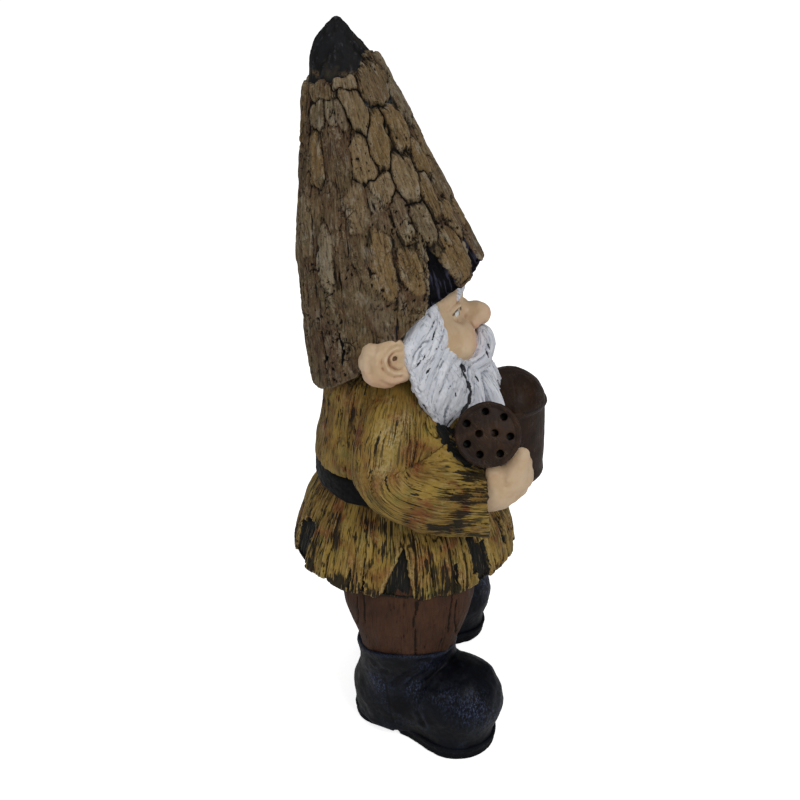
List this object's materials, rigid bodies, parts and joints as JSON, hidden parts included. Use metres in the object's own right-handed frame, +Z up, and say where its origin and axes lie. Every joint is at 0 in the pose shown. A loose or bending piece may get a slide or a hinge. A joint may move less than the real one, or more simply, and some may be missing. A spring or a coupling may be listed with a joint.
{
  "type": "garden gnome",
  "caption": "Painted cast garden figure: a bearded gnome in a tall bark-textured hat, belted jacket and boots, standing and holding a watering can with a perforated rose.",
  "frame": {"origin": "on the ground under the middle of the overall box", "axes": "+Z up, the figure faces -Y, its own right hand is towards -X"},
  "size_m": [0.2074, 0.1872, 0.508],
  "materials": {
    "hat_bark": "matte",
    "hat_tip_paint": "matte",
    "skin_paint": "satin",
    "hair_paint": "matte",
    "jacket_paint": "matte",
    "belt_paint": "satin",
    "trouser_paint": "matte",
    "boot_paint": "satin",
    "sole_paint": "matte",
    "can_paint": "satin",
    "rose_paint": "satin",
    "armature_steel": "satin"
  },
  "bodies": {
    "root": {"hat_shell": "hat_bark", "hat_tip": "hat_tip_paint", "head": "skin_paint", "right_ear": "skin_paint", "left_ear": "skin_paint", "right_eyebrow": "hair_paint", "left_eyebrow": "hair_paint", "moustache": "hair_paint", "beard": "hair_paint", "jacket_body": "jacket_paint", "jacket_skirt": "jacket_paint", "belt": "belt_paint", "right_sleeve": "jacket_paint", "left_sleeve": "jacket_paint", "right_hand": "skin_paint", "left_hand": "skin_paint", "trousers": "trouser_paint", "right_boot": "boot_paint", "left_boot": "boot_paint", "right_sole": "sole_paint", "left_sole": "sole_paint", "can_body": "can_paint", "can_hood": "can_paint", "can_spout": "can_paint", "can_rose": "rose_paint", "can_handle": "can_paint", "right_leg_rod": "armature_steel", "left_leg_rod": "armature_steel", "spine_rod": "armature_steel", "wrist_dowels": "armature_steel"}
  },
  "joints": []
}
